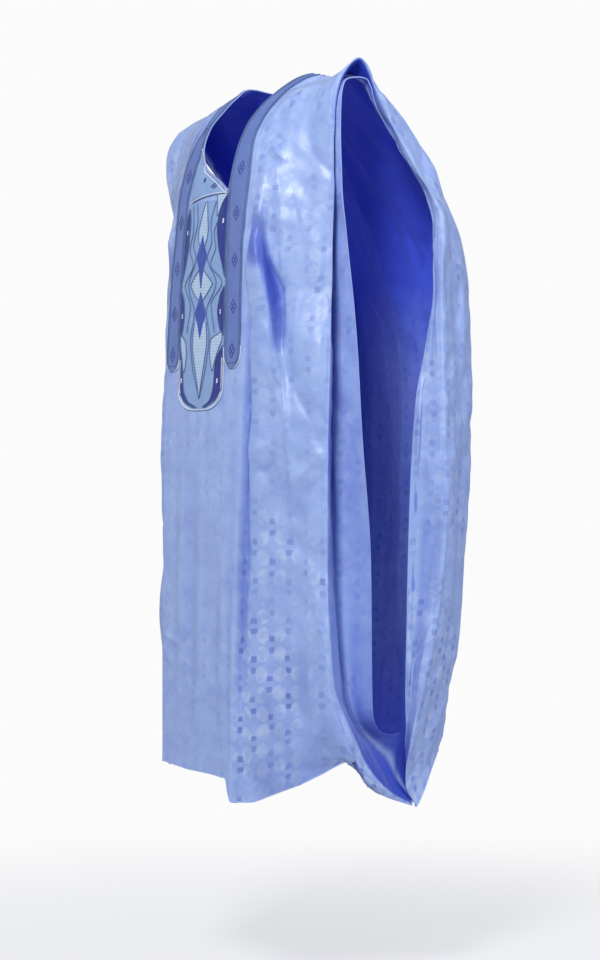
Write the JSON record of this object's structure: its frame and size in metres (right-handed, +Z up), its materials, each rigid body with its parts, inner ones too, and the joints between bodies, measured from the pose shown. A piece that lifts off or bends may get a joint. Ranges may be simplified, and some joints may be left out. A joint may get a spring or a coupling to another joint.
{
  "type": "grand boubou robe",
  "caption": "Full-length hollow boubou robe as worn, with folded-up sides, a slanting neck flap and an embroidered front.",
  "frame": {"origin": "base of the neck, midway between the two neck-side points of the shoulders, where the robe hangs on its wearer", "axes": "+Z up, -Y the way the wearer faces, +X the wearer's left"},
  "size_m": [0.5235, 0.4491, 1.2168],
  "materials": {
    "bazin_cloth": "glazed damask",
    "embroidered_strip": "embroidered",
    "embroidered_tongue": "embroidered"
  },
  "bodies": {
    "root": {"front_panel": "bazin_cloth", "back_panel": "bazin_cloth", "side_panel_left": "bazin_cloth", "side_panel_right": "bazin_cloth", "strip_left": "embroidered_strip", "strip_right": "embroidered_strip", "tongue": "embroidered_tongue", "neck_flap": "embroidered_strip", "neckband_back": "embroidered_strip"}
  },
  "joints": []
}
